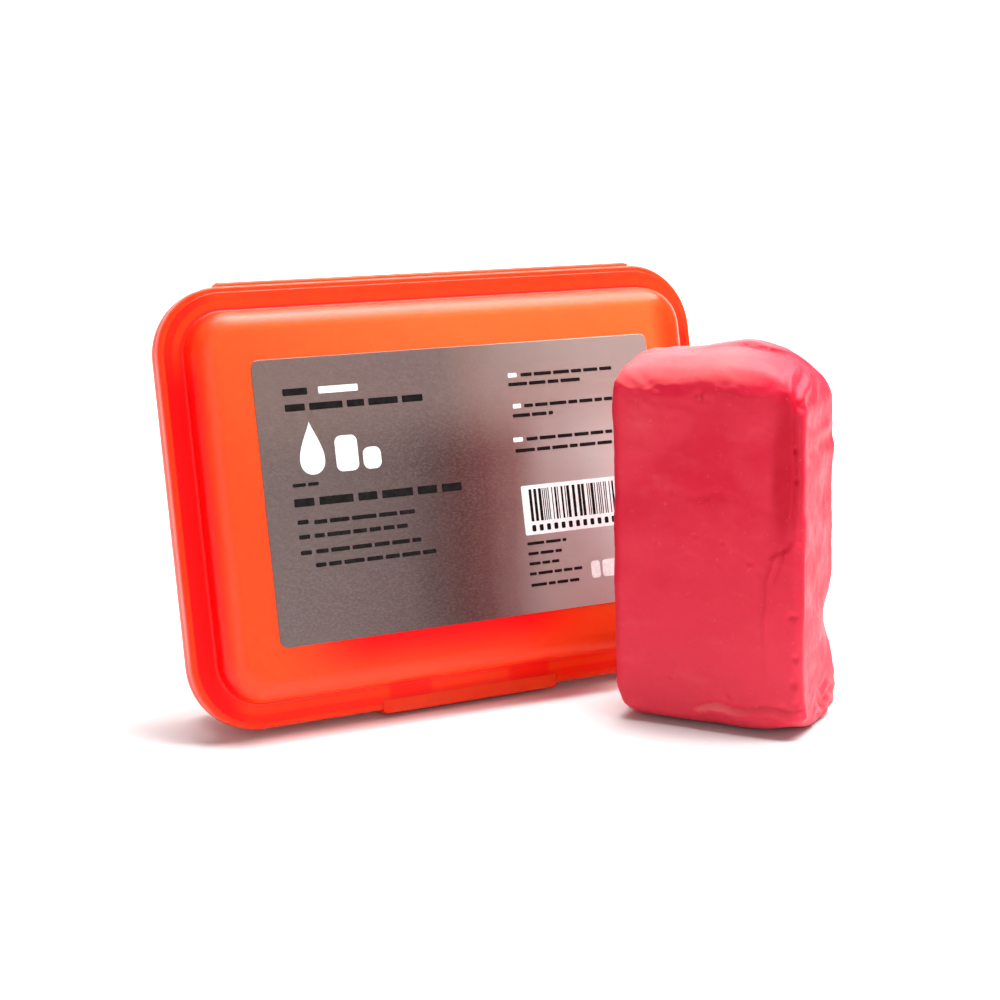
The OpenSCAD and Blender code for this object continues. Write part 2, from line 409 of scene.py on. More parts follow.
def rim_colour(tree, x, y, inset):
    """Bands round the rim: painted shade makes them redder over the sealing bead and at the wall's foot, and
    a painted highlight makes the outer edge lighter.
    """
    # painted shade over the bead and in the corner at the wall's foot, painted highlight at the outer edge
    ring = ramp_of(tree, calc(tree, "DIVIDE", inset, 16.0), [
        (0.0, EDGE_PAINTED_HIGHLIGHT), (0.02, RIM_ORANGE), (0.078, RIM_ORANGE), (0.10, RIM_RED), (0.20, RIM_RED),
        (0.225, RIM_ORANGE), (0.31, RIM_ORANGE), (0.335, RIM_RED), (0.385, RIM_RED), (0.43, RIM_ORANGE),
        (0.62, FACE_ORANGE)])
    # painted light: the rim's top side is painted more orange, towards the key light
    upper = product(tree, span(tree, y, 30.0, 41.0), span(tree, x, -66.0, -56.0),
                    span(tree, inset, 5.6, 5.0, 0.0, 0.75))
    ring = blend_colour(tree, upper, ring, FACE_ORANGE)
    # painted shade: the rim's left side, away from the key light, is painted redder at its outer edge
    left_edge_shade = product(tree, span(tree, x, -58.0, -66.0), span(tree, inset, 1.0, 0.5, 0.0, 0.5))
    return blend_colour(tree, left_edge_shade, ring, RIM_RED)


def lug_shadow(tree, x, y, inset):
    """Where the two catch lugs stand behind the rim."""
    from_middle = calc(tree, "ABSOLUTE", calc(tree, "SUBTRACT", x, TONGUE_SHIFT))
    near, far = (LUG_PITCH - LUG_W) / 2, (LUG_PITCH + LUG_W) / 2
    inner = span(tree, from_middle, near - 1.2, near + 0.8)
    outer = span(tree, from_middle, far + 1.2, far - 0.8)
    return product(tree, inner, outer, span(tree, y, -44.0, -47.0), span(tree, inset, 0.8, 1.6), 0.7)


def shell_material(name):
    """The case's plastic with painted light and shade: warmer towards the key light, deeper red where the
    walls stand behind it, and painted shadow and shade under the label, on the left rim, the right shoulder
    and over the lugs.
    """
    mat, tree, bsdf, coords, flow = case_base(name)
    x, y, z = millimetres(tree, coords)
    inset = add(tree, "ShaderNodeAttribute", attribute_name="inset").outputs["Fac"]
    # painted light: the face is painted warmer towards the key light at the upper right
    across = calc(tree, "ADD", calc(tree, "MULTIPLY", x, 0.55), calc(tree, "MULTIPLY", y, 0.85))
    painted_key_light = span(tree, plus(tree, across, flow, 16.0), -30, 78)
    face = blend_colour(tree, painted_key_light, FACE_ORANGE, FACE_PAINTED_LIT)
    colour = blend_colour(tree, span(tree, inset, 7.5, 11.7), rim_colour(tree, x, y, inset), face)
    low = product(tree, span(tree, y, -24.0, -44.0), 0.25)
    colour = blend_colour(tree, low, colour, RIM_ORANGE)
    # painted shadow of the label: deep red on the inside just below its lower edge
    painted_label_shadow = product(tree, span(tree, y, -45.5, -34.2), span(tree, y, -33.0, -33.7),
                          span(tree, x, -56.0, -30.0), span(tree, x, 36.0, 10.0), span(tree, z, 7.0, 9.0))
    colour = blend_colour(tree, painted_label_shadow, colour, DEEP_RED)
    # painted shade: the right shoulder is painted redder; the same mask also lowers its roughness
    right_shoulder_shade = product(tree, span(tree, x, 55.0, 62.0), span(tree, inset, 5.0, 5.6))
    colour = blend_colour(tree, product(tree, right_shoulder_shade, 0.85), colour, RIM_ORANGE)
    # painted shade: the upper left rim, away from the key light, is painted deep red
    left_rim_shade = product(tree, span(tree, x, -60.0, -66.0), span(tree, y, 44.0, 26.0),
                       span(tree, inset, 1.2, 1.7), span(tree, inset, 8.4, 6.2))
    colour = blend_colour(tree, left_rim_shade, colour, DEEP_RED)
    colour = blend_colour(tree, lug_shadow(tree, x, y, inset), colour, DEEP_RED)
    tree.links.new(colour, bsdf.inputs["Base Color"])
    rough = bsdf.inputs["Roughness"].links[0].from_socket
    smoother = product(tree, right_shoulder_shade, -0.26)
    tree.links.new(calc(tree, "ADD", rough, smoother, clamp=True), bsdf.inputs["Roughness"])
    return mat


def plain_case_material(name, light, dark):
    """The same plastic for the small solid pieces."""
    mat, tree, bsdf, _, flow = case_base(name)
    tree.links.new(blend_colour(tree, span(tree, flow, 0.3, 0.7), light, dark), bsdf.inputs["Base Color"])
    return mat


def label_material():
    """Metallised film with a fine grain; painted reflection makes it paler to the right with a dark warm band
    over its lower middle, and painted light lifts its lower right where the clay's shadow falls.
    """
    mat, tree, bsdf = new_material("label_film")
    coords = add(tree, "ShaderNodeTexCoord").outputs["Object"]
    x, y, _ = millimetres(tree, coords)
    stretched = add(tree, "ShaderNodeMapping", {"Vector": coords, "Scale": (1300, 2600, 300)}).outputs[0]
    grain = noise_at(tree, stretched, 1.0, 4, 0.6)
    broad = noise_at(tree, coords, 22, 3, 0.5)
    side = span(tree, plus(tree, x, broad, 12.0), -50, 52)
    # painted reflection and light across the film: darker left and middle, a dark warm band low in the
    # middle, palest at the lower right
    lower = ramp_of(tree, side, [
        (0.0, (0.155, 0.112, 0.105)), (0.28, (0.120, 0.080, 0.076)), (0.39, (0.092, 0.052, 0.050)),
        (0.51, (0.100, 0.036, 0.034)), (0.62, (0.145, 0.050, 0.047)), (0.73, (0.240, 0.120, 0.112)),
        (0.84, (0.450, 0.370, 0.350)), (1.0, (0.600, 0.580, 0.560))])
    upper = ramp_of(tree, side, [
        (0.0, (0.210, 0.140, 0.125)), (0.39, (0.200, 0.135, 0.128)), (0.51, (0.215, 0.147, 0.135)),
        (0.62, (0.290, 0.185, 0.165)), (1.0, (0.470, 0.380, 0.350))])
    colour = blend_colour(tree, span(tree, y, 4.0, 24.0), lower, upper)
    colour = blend_colour(tree, span(tree, grain, 0.35, 0.8, 0.0, 0.08), colour, (0.62, 0.54, 0.50))
    tree.links.new(colour, bsdf.inputs["Base Color"])
    tree.links.new(span(tree, grain, 0.3, 0.7, 0.34, 0.5), bsdf.inputs["Roughness"])
    tree.links.new(bump_on(tree, grain, 0.1, 0.01), bsdf.inputs["Normal"])
    bsdf.inputs["Metallic"].default_value = 0.55
    return mat


def ink_material(name, dark, light):
    """Printed ink with slight wear in its tone."""
    mat, tree, bsdf = new_material(name)
    coords = add(tree, "ShaderNodeTexCoord").outputs["Object"]
    tone = span(tree, noise_at(tree, coords, 900, 3, 0.6), 0.35, 0.75)
    tree.links.new(blend_colour(tree, tone, dark, light), bsdf.inputs["Base Color"])
    tree.links.new(span(tree, tone, 0, 1, 0.42, 0.56), bsdf.inputs["Roughness"])
    bsdf.inputs["Specular IOR Level"].default_value = 0.2
    return mat


def clay_material():
    """Soft synthetic clay: scattering, a slightly waxy skin, fine pits and smears, with painted light and
    shade read from its points.
    """
    mat, tree, bsdf = new_material("clay")
    coords = add(tree, "ShaderNodeTexCoord").outputs["Object"]
    _, _, z = millimetres(tree, coords)
    broad = noise_at(tree, coords, 45, 4, 0.55, 0.4)
    grain = noise_at(tree, coords, 900, 4, 0.6)
    stretched = add(tree, "ShaderNodeMapping", {"Vector": coords, "Scale": (90, 90, 160)}).outputs[0]
    smear = noise_at(tree, stretched, 1.0, 4, 0.6, 0.5)
    flakes_and_painted_light = add(tree, "ShaderNodeAttribute", attribute_name="flakes_and_painted_light").outputs["Fac"]
    low = span(tree, z, 60, 5)
    colour = blend_colour(tree, low, CLAY_DEEP, CLAY_MID)
    colour = blend_colour(tree, span(tree, broad, 0.36, 0.66, 0, 0.55), colour, CLAY_MID)
    colour = blend_colour(tree, span(tree, smear, 0.52, 0.86, 0, 0.13), colour, CLAY_PALE)
    # painted light and shade from the points' weights: paler where light is painted, deeper where shade is
    # painted, and the pale flakes
    colour = blend_colour(tree, calc(tree, "MULTIPLY", flakes_and_painted_light, 0.8, clamp=True), colour, CLAY_PALE)
    colour = blend_colour(tree, span(tree, flakes_and_painted_light, -0.05, -0.45), colour, CLAY_DARK)
    colour = blend_colour(tree, span(tree, grain, 0.62, 0.78, 0, 0.16), colour, (0.85, 0.25, 0.28))
    tree.links.new(colour, bsdf.inputs["Base Color"])
    for key, value in {"Subsurface Weight": 0.3, "Subsurface Radius": (1.0, 0.2, 0.2),
                       "Subsurface Scale": 1.3 * MM, "Specular IOR Level": 0.15, "Coat Weight": 0.0}.items():
        bsdf.inputs[key].default_value = value
    tree.links.new(span(tree, smear, 0.3, 0.7, 0.40, 0.56), bsdf.inputs["Roughness"])
    normal = bump_on(tree, grain, 0.25, 0.08)
    normal = bump_on(tree, smear, 0.2, 0.08, normal)
    pits = add(tree, "ShaderNodeTexVoronoi", {"Vector": coords, "Scale": 330.0}).outputs["Distance"]
    holes = span(tree, pits, 0.0, 0.16)
    tree.links.new(bump_on(tree, holes, 0.35, 0.12, normal), bsdf.inputs["Normal"])
    return mat


# ---------------------------------------------------------------- the case
def build_leaves(material):
    """The two thick strips that carry the hinge film, one on each half's rim."""
    for name, body, sign in (("lid_leaf", "lid", 1), ("tray_leaf", "tray", -1)):
        z0, z1 = sorted((sign * (FILM_R + FILM_FIT), sign * (FILM_R + FILM_FIT + LEAF_T)))
        low = (-HINGE_LEN / 2, CASE_H / 2 - SEAT, z0)
        high = (HINGE_LEN / 2, HINGE_Y - FILM_FIT, z1)
        leaf = make_object(name, *soft_box(low, high, LEAF_EDGE_R), CASE)
        finish_piece(leaf, body, material, "case_plastic", body + "_hinge_leaf")


def build_lugs(material):
    """The pair of lugs that back the tray's rim at the latch."""
    lugs = []
    for side in (-1, 1):
        x0 = TONGUE_SHIFT + side * LUG_PITCH / 2 - LUG_W / 2
        low = (x0, -CASE_H / 2 + LUG_EDGE, -TRAY_RIM - LUG_H)
        high = (x0 + LUG_W, -CASE_H / 2 + RIM_W - FILLET_R, -TRAY_RIM + 0.1)
        lugs.append(soft_box(low, high, LUG_EDGE_R))
    pair = make_object("catch_lug_pair", *joined(lugs), CASE)
    finish_piece(pair, "tray", material, "case_plastic", "catch_lugs")


def build_case():
    """The two halves, the sealing bead, the hinge and the latch."""
    shell = shell_material("case_plastic")
    small = plain_case_material("case_plastic_small", (1.0, 0.06, 0.012), RIM_ORANGE)
    clear = plain_case_material("case_plastic_film", (1.0, 0.13, 0.05), (1.0, 0.09, 0.03))
    cuts = (TONGUE_SHIFT - TONGUE_W / 2 - TONGUE_FIT, TONGUE_SHIFT + TONGUE_W / 2 + TONGUE_FIT)
    lid = swept_half("lid", LID_H, LID_RIM, LID_SHOULDER_R, 1, groove=True, notch=cuts)
    finish_piece(lid, "lid", shell, "case_plastic", "lid_shell")
    tray = swept_half("tray", TRAY_H, TRAY_RIM, TRAY_SHOULDER_R, -1)
    finish_piece(tray, "tray", shell, "case_plastic", "tray_shell")
    finish_piece(swept_bead("sealing_bead"), "tray", small, "case_plastic", "seal_bead")
    build_leaves(clear)
    build_lugs(small)
    build_tongue(small)
    build_film(clear)


def build_tongue(material):
    """The latch tongue: a rounded hook whose root is one with the lid's rim."""
    lip_y = -CASE_H / 2 - LIP_FIT
    foot_y = lip_y - TONGUE_T
    tail_z = -TRAY_RIM - TONGUE_TAIL
    root_y = -CASE_H / 2 + TONGUE_ROOT
    front = LID_RIM - STEP_H
    back = LID_RIM / 2
    r, nose, bury = TONGUE_EDGE_R, TONGUE_NOSE_R, TONGUE_FIT + 0.08
    section = [(front, root_y + bury), (front, root_y), (front, root_y - 0.5), (front, foot_y + 0.9)]
    section += arc(front - nose, foot_y + nose, nose, 0, -90, 5) + arc(tail_z + r, foot_y + r, r, 270, 180, 4)
    section += arc(tail_z + 0.2, lip_y - 0.2, 0.2, 180, 90, 3) + [(back - 0.2, lip_y), (back, lip_y + 0.2)]
    section += [(back, root_y - 0.5), (back, root_y), (back, root_y + bury)]
    half = TONGUE_W / 2 + TONGUE_FIT - 0.12
    columns = [-half] + list(np.linspace(-half + TONGUE_BEVEL, half - TONGUE_BEVEL, 25)) + [half]
    verts = []
    for x in columns:
        low = foot_y + max(0.0, TONGUE_BEVEL - (half - abs(x)))
        verts += [(TONGUE_SHIFT + x, max(y, low), z) for z, y in section]
    faces = capped_tube(len(columns), len(section))
    tongue = make_object("latch_tongue_piece", verts, faces, CASE)
    tongue.data.materials.append(material)
    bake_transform(tongue)
    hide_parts("latch_tongue")


def build_film(material):
    """The hinge film, a thin strip curved between the two leaves."""
    half, crest = HINGE_LEN / 2 - 0.4, HINGE_Y + FILM_R - SEAT
    zs = np.linspace(-FILM_REACH, FILM_REACH, 13)
    section = [(crest - 0.10 * (z / FILM_REACH) ** 2, z) for z in zs]
    section += [(crest - FILM_T - 0.16 * (z / FILM_REACH) ** 2, z) for z in zs[::-1]]
    xs = np.linspace(-half, half, 41)
    verts = [(x, y, z) for x in xs for y, z in section]
    faces = capped_tube(len(xs), len(section))
    film = make_object("hinge_film_piece", verts, faces, CASE)
    film.data.materials.append(material)
    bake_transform(film)
    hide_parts("hinge_film")


# ---------------------------------------------------------------- the label and its print
def build_label():
    """The label: a thin film with a bevelled edge and rounded corners."""
    base, w, h, e = LID_H, LABEL_W / 2, LABEL_H / 2, LABEL_EDGE
    outline = rounded_outline(-w, -h, w, h, LABEL_R, 8)
    inner = rounded_outline(e - w, e - h, w - e, h - e, LABEL_R, 8)
    n = len(outline)
    verts = [(x, y, base) for x, y in outline] + [(x, y, base + LABEL_T - e) for x, y in outline]
    verts += [(x, y, base + LABEL_T) for x, y in inner]
    faces = [tuple(reversed(range(n))), tuple(range(2 * n, 3 * n))]
    for a in (0, n):
        faces += [(a + i, a + (i + 1) % n, a + n + (i + 1) % n, a + n + i) for i in range(n)]
    film = make_object("label_film_piece", verts, faces, CASE)
    finish_piece(film, "lid", label_material(), "label_film", "label")
    build_print(base + LABEL_T)


def block(x0, y0, x1, y1, z, r, steps=4, t=PRINT_T):
    """A thin printed block with rounded corners."""
    return prism(rounded_outline(x0, y0, x1, y1, r, steps), z - PRINT_SINK, z + t)


def bar(x0, y0, x1, y1, z):
    """A small printed bar with soft corners."""
    return block(x0, y0, x1, y1, z, min(0.22, (x1 - x0) * 0.35, (y1 - y0) * 0.35), 2)


def word_line(rng, x0, x1, y, size, z):
    """Greeked print: a row of plain bars, one for each word, with gaps between them."""
    parts, x = [], x0
    while x < x1 - size * 0.8:
        end = min(x1, x + size * rng.uniform(1.6, 4.4))
        parts.append(bar(x, y + size * 0.12, end, y + size * 0.78, z))
        x = end + size * 0.45
    return parts


def print_lines(rng, z):
    """The dark lines of greeked print: (left, right, foot, height of the letters)."""
    parts = []
    for x0, x1, y, size in (
        (-47.1, -38.6, 24.5, 2.5), (-46.9, -11.0, 20.8, 2.5), (-47.1, 0.4, -1.7, 2.9),
        (-47.0, -40.4, 3.2, 1.2), (-46.8, -44.0, -5.6, 1.5), (-42.6, -15.3, -5.9, 1.5),
        (-46.8, -44.0, -9.1, 1.5), (-42.9, -18.6, -9.1, 1.5), (-46.8, -44.0, -12.8, 1.5),
        (-42.9, -15.4, -12.8, 1.5), (-43.3, -11.7, -16.0, 1.5),
        (16.6, 43.0, 24.9, 1.3), (12.9, 34.4, 22.7, 1.3), (16.7, 42.3, 17.2, 1.3),
        (13.2, 24.7, 14.9, 1.3), (16.3, 41.3, 8.9, 1.3), (12.9, 40.9, 6.2, 1.3),
        (13.4, 24.6, -16.9, 1.1), (13.4, 24.3, -19.4, 1.1), (13.4, 22.2, -21.9, 1.1),
        (13.2, 28.3, -24.4, 1.1), (13.3, 27.1, -27.2, 1.1),
    ):
        parts += word_line(rng, x0, x1, y, size, z)
    return parts


def print_emblem(z):
    """A drop and two rounded blocks, plain shapes in place of the big name."""
    drop = [(-41.3 + 4.6 * math.sin(a) * math.sin(a / 2) ** 1.6, 12.2 + 6.3 * math.cos(a))
            for a in np.linspace(2 * math.pi, 0, 49)[:-1]]
    blocks = [block(x0, 6.0, x1, top, z, 1.6, 5)
              for x0, x1, top in ((-35.3, -29.5, 14.5), (-28.3, -23.6, 11.2))]
    return [prism(drop, z - PRINT_SINK, z + PRINT_T)] + blocks


def panel_bars(rng, z):
    """Random upright bars on the pale panel, with a row of small marks under them."""
    low, high = z + PRINT_T / 2, z + PRINT_T * 1.5
    widths = (0.27, 0.27, 0.54, 0.81)
    parts, x = [], 15.3
    while x < 42.5:
        w = rng.choice(widths)
        parts.append(prism([(x, -11.0), (x + w, -11.0), (x + w, -3.0), (x, -3.0)], low, high))
        x += w + rng.choice(widths)
    for x in np.arange(15.3, 42.0, 2.1):
        parts.append(prism(rounded_outline(x, -13.5, x + 1.1, -11.9, 0.3, 3), low, high))
    return parts


def build_print(z):
    """Generic print: bars in place of words, plain shapes in place of the big name, a panel of bars."""
    rng = random.Random(7)
    black = print_lines(rng, z)
    white = [bar(x0, y + 0.1, x1, y + 1.2, z)
             for x0, x1, y in ((13.0, 15.5, 24.9), (13.5, 15.8, 17.2), (12.6, 15.3, 8.9))]
    white += word_line(rng, -38.0, -25.4, 24.5, 2.5, z) + print_emblem(z)
    white.append(block(13.3, -14.3, 44.0, -2.0, z, 0.4, 4, PRINT_T - 0.01))
    white += [block(x0, -26.9, x0 + w, -22.6, z, 0.8) for x0, w in ((30.9, 2.6), (34.2, 4.2))]
    black += panel_bars(rng, z)
    dark_ink = ink_material("ink_dark", (0.002, 0.001, 0.001), (0.008, 0.006, 0.006))
    pale_ink = ink_material("ink_pale", (0.78, 0.76, 0.76), (0.92, 0.9, 0.9))
    for name, parts, ink in (("label_print_dark", black, dark_ink), ("label_print_pale", white, pale_ink)):
        finish_piece(make_object(name, *joined(parts), CASE), "lid", ink, "label_film")


# ---------------------------------------------------------------- the clay bar
def smooth(t):
    """Smooth step from 0 to 1."""
    t = np.clip(t, 0, 1)
    return t * t * (3 - 2 * t)


def bump3(p, centre, radii):
    """A soft round weight, 1 at the centre."""
    return np.exp(-sum(((p[:, i] - centre[i]) / radii[i]) ** 2 for i in range(3)))


def fractal(p, scale, octaves, seed):
    """Smooth noise at each point, seeded by its offset."""
    offset = Vector((seed * 7.1, seed * 3.7, seed * 5.3))
    return np.array([noise.fractal(Vector(v) * scale + offset, 1.0, 2.0, octaves) for v in p])


def clay_grid():
    """Points on a box surface, each from -1 to 1 along every axis, and the faces between them."""
    counts = [round(size / CLAY_STEP) for size in (CLAY_W, CLAY_D, CLAY_H)]
    index, verts, faces = {}, [], []

    def point(key):
        if key not in index:
            index[key] = len(verts)
            verts.append([2 * key[i] / counts[i] - 1 for i in range(3)])
        return index[key]

    for axis in range(3):
        u, v = (axis + 1) % 3, (axis + 2) % 3
        for side in (0, counts[axis]):
            for i in range(counts[u]):
                for j in range(counts[v]):
                    corners = []
                    for du, dv in ((0, 0), (1, 0), (1, 1), (0, 1)):
                        key = [0, 0, 0]
                        key[axis], key[u], key[v] = side, i + du, j + dv
                        corners.append(point(tuple(key)))
                    faces.append(tuple(corners if side else reversed(corners)))
    return np.array(verts), faces


def rounded_block(unit):
    """The bar's plain form: upright edges, top edges and foot edges each with their own rounding."""
    hx, hy = CLAY_W / 2, CLAY_D / 2
    x, y, z = unit[:, 0] * hx, unit[:, 1] * hy, (unit[:, 2] + 1) / 2 * CLAY_H
    flat = np.abs(unit[:, 2]) > 1 - 1e-6
    top = unit[:, 2] > 0
    r = np.where(top, CLAY_TOP_R, CLAY_FOOT_R)
    to_end = np.where(top, CLAY_H - z, z)
    border = np.minimum(hx - np.abs(x), hy - np.abs(y))
    turn = np.where(flat, 45 + 45 * np.clip(border / r, 0, 1), 45 * np.clip(1 - to_end / r, 0, 1))
    inset = np.where(flat & (border > r), border, r * (1 - np.cos(np.radians(turn))))
    rise = r * (1 - np.sin(np.radians(turn)))
    near_end = flat | (to_end < r)
    z = np.where(top, np.where(near_end, CLAY_H - rise, z), np.where(near_end, rise, z))
    ex, ey = np.where(flat, hx - border, hx), np.where(flat, hy - border, hy)
    x = x * (hx - inset) / np.maximum(ex, 1e-6)
    y = y * (hy - inset) / np.maximum(ey, 1e-6)
    rc = np.minimum(CLAY_EDGE_R + 0.2 * inset, 0.95 * np.maximum(hy - inset, 1e-3))
    ix = np.clip(x, -(hx - inset - rc), hx - inset - rc)
    iy = np.clip(y, -(hy - inset - rc), hy - inset - rc)
    dx, dy = x - ix, y - iy
    length = np.hypot(dx, dy)
    reach = np.maximum(np.abs(dx), np.abs(dy))
    scale = np.where(length > 1e-9, reach / np.maximum(length, 1e-9), 1.0)
    return np.stack([ix + dx * scale, iy + dy * scale, z], 1)


def point_normals(points, faces):
    """Outward normals of a closed quad mesh's points."""
    quads = np.array(faces)
    a, b, c, d = (points[quads[:, i]] for i in range(4))
    face_normals = np.cross(c - a, d - b)
    normals = np.zeros_like(points)
    for i in range(4):
        np.add.at(normals, quads[:, i], face_normals)
    normals /= np.maximum(np.linalg.norm(normals, axis=1), 1e-12)[:, None]
    outward = np.sign(np.sum(normals * (points - points.mean(0)), axis=1).mean())
    return normals * outward


def clay_warp(p):
    """Slow changes of form: a crowned top, a lifted front foot and sides that aren't quite upright."""
    x, y, z = p[:, 0].copy(), p[:, 1].copy(), p[:, 2].copy()
    share = z / CLAY_H
    p[:, 0] -= smooth(-x / 18) * (0.3 + 2.0 * share)
    p[:, 0] -= 0.2 * smooth((-x - 14) / 7) * smooth((z - 68) / 8)
    p[:, 0] += smooth(x / 18) * (2.0 - 2.4 * share)
    crown = 4.9 * (1 - ((x + 1.0) / 24.0) ** 2) - 1.2 * smooth(-y / 10)
    crown += 2.6 * smooth((-x - 15) / 7) - 0.8 * np.exp(-((x + 9) / 6) ** 2)
    p[:, 2] += smooth((z - 58) / 24) * crown
    foot = 1 - smooth(z / 13)
    lift = 1.5 * smooth((-y - 2) / 11) + 1.6 * smooth((x - 10) / 12) * smooth((-y + 2) / 14)
    p[:, 2] += foot * lift
    p[:, 0] += 2.2 * smooth((-x - 12) / 9) * (1 - smooth(z / 9)) * smooth((-y) / 8)
    return p


def shelf_line(p):
    """Distance behind the edge of the fold on the bar's top."""
    x, y = p[:, 0], p[:, 1]
    return y - 1 - 0.28 * (x - 6) - 0.9 * np.sin(x * 0.45)


def clay_lumps(p):
    """Soft facets, the dents and swellings of the right side, and pits."""
    out = 0.42 * fractal(p, 0.04, 2, 1) + 0.2 * fractal(p, 0.12, 3, 2) + 0.05 * fractal(p, 0.5, 3, 3)
    for height, centre, radii in (
        (0.9, (24, 14, 8), (5, 8, 5)), (-2.7, (24, 14, 25), (5, 7, 6)), (0.7, (24, 14, 66), (3, 5, 2.6)),
        (-0.55, (23, 6, 68.5), (2.5, 6, 1.6)), (0.5, (23, 5, 71.5), (2.5, 6, 1.4)),
    ):
        out += height * bump3(p, centre, radii)
    for x, y, z, size in (
        (22.3, -12.0, 79.0, 1.1), (21.4, -14, 30, 0.9), (22.3, -14, 20, 0.8), (22.0, -14, 13.6, 0.9),
        (22.4, -13.4, 8.5, 0.9), (10.7, -14, 41.9, 0.5), (-2.5, -14, 80.5, 0.9), (-3, -14, 47, 0.4),
        (4, -14, 46, 0.4), (-8, -14, 12, 0.4), (6, -14, 9, 0.5), (21.5, -14, 62, 0.7), (20.8, -14, 69, 0.6),
    ):
        out -= size * bump3(p, (x, y, z), (size * 1.1,) * 3)
    return out


def front_marks(p, front):
    """The torn flap with its seam, the crease by the right edge and a shallow smudge."""
    x, z = p[:, 0], p[:, 2]
    edge = 14.0 + 1.7 * smooth((z - 37) / 6) + 4.2 * smooth((z - 43) / 3.6) + 0.2 * np.sin(z * 0.4)
    out = 0.6 * smooth((x - edge) / 0.9) * smooth((48 - z) / 1.5) * smooth((z - 12) / 20)
    seam = np.exp(-((x - 16.8 - 0.28 * (z - 39)) / 0.45) ** 2)
    out -= 0.45 * seam * smooth((z - 36) / 4) * smooth((47 - z) / 1.5)
    crease = np.exp(-((x - 20.9 - 0.3 * np.sin(z * 0.23)) / 0.55) ** 2)
    out -= 0.55 * crease * smooth((z - 46) / 6) * smooth((83 - z) / 4)
    smudge = np.exp(-((z - 57 - 0.7 * np.sin(x * 0.5)) / 1.1) ** 2)
    out -= 0.16 * smudge * smooth((12 - np.abs(x + 2)) / 5)
    return out * front


def foot_marks(p, front):
    """The squeezed lip over the foot and the flaky corner below the right side."""
    x, y, z = p[:, 0], p[:, 1], p[:, 2]
    above_foot = z - 0.5 * np.sin(x * 0.5) - 0.05 * x
    lip = np.exp(-((above_foot - 4.6) / 0.75) ** 2) * (1 - 0.5 * smooth((x - 17) / 4))
    out = 0.9 * lip * smooth((-y - 10) / 2) * smooth((x + 5) / 6)
    out -= 0.5 * np.exp(-((above_foot - 6.5) / 0.6) ** 2) * front * smooth((x + 4) / 6)
    flake = np.sin(x * 2.1 + z * 1.7 + 1.5 * np.sin(y * 0.7))
    out += 0.6 * flake * bump3(p, (22.5, 4, 5), (3.5, 9, 5.5))
    return out + 0.5 * bump3(p, (22.5, 8, 3.5), (3, 5, 3))


def top_marks(p):
    """The folded corner, the shelf and notch of the top, fine wrinkles and the ridge where the top begins."""
    x, y, z = p[:, 0], p[:, 1], p[:, 2]
    fold = np.sin((x * 0.8 + y * 0.5 - z * 0.7) * 1.25 + 0.8 * np.sin(y * 0.5))
    out = 0.8 * fold * bump3(p, (20.5, -7, 84), (4.2, 7.5, 4.0))
    out += 1.5 * smooth(shelf_line(p) / 0.6) * bump3(p, (6, 4, 90), (9, 8, 6))
    out -= 0.7 * np.exp(-((x + 3.2) / 1.1) ** 2) * bump3(p, (-3.2, 13, 90), (3, 5, 5))
    wrinkle = np.sin(z * 1.9 + x * 0.6 + 2 * np.sin(x * 0.35))
    out += 0.09 * wrinkle * bump3(p, (-13, -13, 79), (9, 6, 5))
    ridge = np.exp(-((z - 81.5 - 0.8 * np.sin(x * 0.45) - 0.4 * np.sin(x * 1.3)) / 0.55) ** 2)
    return out + 0.12 * ridge * smooth((-y - 8) / 4)


def clay_marks(p):
    """Height of all the skin's marks, fading out at the very foot."""
    front = smooth((-p[:, 1] - 11.5) / 1.5)
    marks = clay_lumps(p) + front_marks(p, front) + foot_marks(p, front) + top_marks(p)
    return marks * smooth(p[:, 2] / 2.5)


def clay_shape(unit, faces):
    """The finished points of the bar."""
    points = clay_warp(rounded_block(unit))
    points += point_normals(points, faces) * clay_marks(points)[:, None]
    points[:, 2] = np.maximum(points[:, 2], 0.0)
    return points


def clay_flakes_and_painted_light(p, normals):
    """How pale (above 0) or deep (below 0) the clay's colour is at each point: mostly painted light and
    shade, and the skin's own pale flakes.
    """
    # painted shade on the right side, painted light on the top that fades to the right
    out = smooth((normals[:, 0] - 0.35) / 0.5) * -0.16
    out += smooth((normals[:, 2] - 0.2) / 0.38) * (0.52 - 0.46 * smooth((p[:, 0] - 2) / 14))
    # the skin's own pale flakes, low on the right side
    flakes = 0.5 + 0.5 * np.sin(p[:, 2] * 1.9 + p[:, 1] * 1.3)
    out += 0.7 * bump3(p, (22.5, 3, 4), (4, 8, 4.5)) * flakes
    # painted shade along the edge of the fold on the top
    fold_shade = np.exp(-(shelf_line(p) / 0.7) ** 2)
    out -= 0.45 * fold_shade * bump3(p, (6, 2, 90), (7, 7, 6))
    # a painted highlight in the dent high on the right side, a slight pale patch on the front, and painted
    # shade beside the crease at the front's right edge and under the top's front edge
    for weight, centre, radii in (
        (0.5, (23, 5, 69.5), (2.5, 6, 3)), (0.10, (-16, -14, 74), (7, 3, 9)),
        (-0.6, (18.6, -14, 64), (3.4, 3, 17)), (-0.22, (2, -14, 81.5), (17, 3, 2.2)),
    ):
        out += weight * bump3(p, centre, radii)
    return out


def build_clay():
    """The bar, with the colour weights that its material reads."""
    unit, faces = clay_grid()
    points = clay_shape(unit, faces)
    flakes_and_painted_light = clay_flakes_and_painted_light(points, point_normals(points, faces))
    clay = make_object("clay_block", points.tolist(), faces, CLAY, {"flakes_and_painted_light": flakes_and_painted_light}, smooth_angle=80)
    finish_piece(clay, "clay", clay_material(), "clay", "clay_bar")


